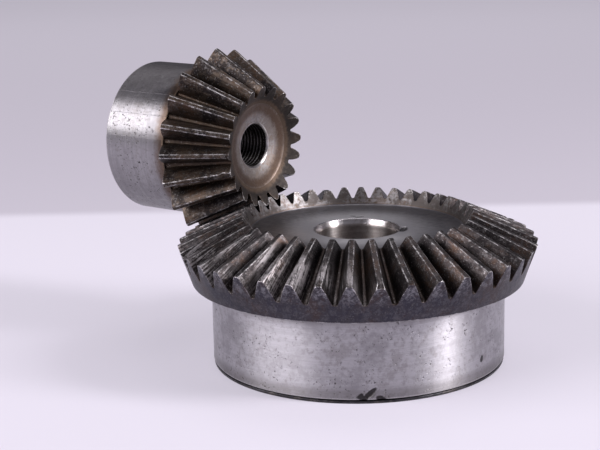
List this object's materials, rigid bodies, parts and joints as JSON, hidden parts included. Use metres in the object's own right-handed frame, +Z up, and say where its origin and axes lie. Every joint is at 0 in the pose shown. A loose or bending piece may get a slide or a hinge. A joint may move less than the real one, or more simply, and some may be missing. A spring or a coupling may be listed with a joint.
{
  "type": "bevel gear pair",
  "caption": "Straight bevel gear wheel with a ground hub, meshing at a right angle with a smaller bored bevel pinion, on a thin shim ring.",
  "frame": {"origin": "centre of the bounding box's base, on the underside of the shim ring; the wheel's axis is 14 mm along +X from it", "axes": "+Z up along the wheel's axis, +X along the pinion's axis from the pinion towards the wheel, +Y to the side"},
  "size_m": [0.1495, 0.1212, 0.1025],
  "materials": {
    "wheel_steel": "worn oxidised steel with a ground hub",
    "pinion_steel": "worn oxidised steel with a ground hub",
    "shim_steel": "dark blued spring steel"
  },
  "bodies": {
    "base": {"shim_ring": "shim_steel"},
    "wheel": {"wheel": "wheel_steel"},
    "pinion": {"pinion": "pinion_steel"}
  },
  "joints": [
    {"name": "wheel_spin", "type": "hinge", "parent": "base", "child": "wheel", "pos_m": [0.01395, 0, 0.02], "axis": [0, 0, 1], "continuous": true},
    {"name": "pinion_spin", "type": "hinge", "parent": "base", "child": "pinion", "pos_m": [-0.05, 0, 0.06915], "axis": [1, 0, 0], "continuous": true}
  ],
  "couplings": [
    {"joint": "pinion_spin", "follows": "wheel_spin", "ratio": -2}
  ]
}
